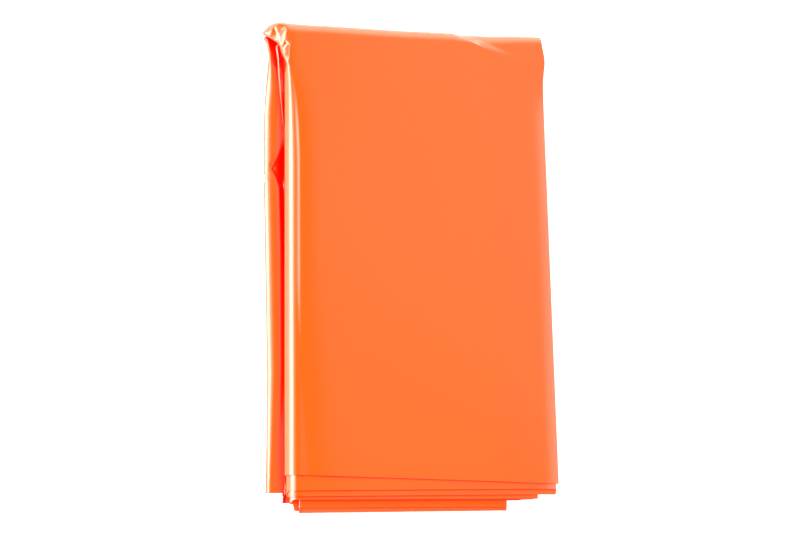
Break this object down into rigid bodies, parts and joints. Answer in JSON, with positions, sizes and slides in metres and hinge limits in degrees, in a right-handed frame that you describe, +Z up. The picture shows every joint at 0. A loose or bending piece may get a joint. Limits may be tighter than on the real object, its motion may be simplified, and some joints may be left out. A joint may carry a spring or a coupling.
{
  "type": "folded emergency sleeping bag",
  "caption": "Glossy orange film survival bag, folded lengthwise into nested layers and once over its head, with stepped ends at the foot.",
  "frame": {"origin": "middle of the pack's outline, on the surface that it lies on", "axes": "+X towards the open side, +Y towards the head fold, +Z up out of the face"},
  "size_m": [0.166, 0.2896, 0.0185],
  "materials": {
    "film": "glossy orange polythene film"
  },
  "bodies": {
    "root": {"folded_bag": "film"}
  },
  "joints": []
}
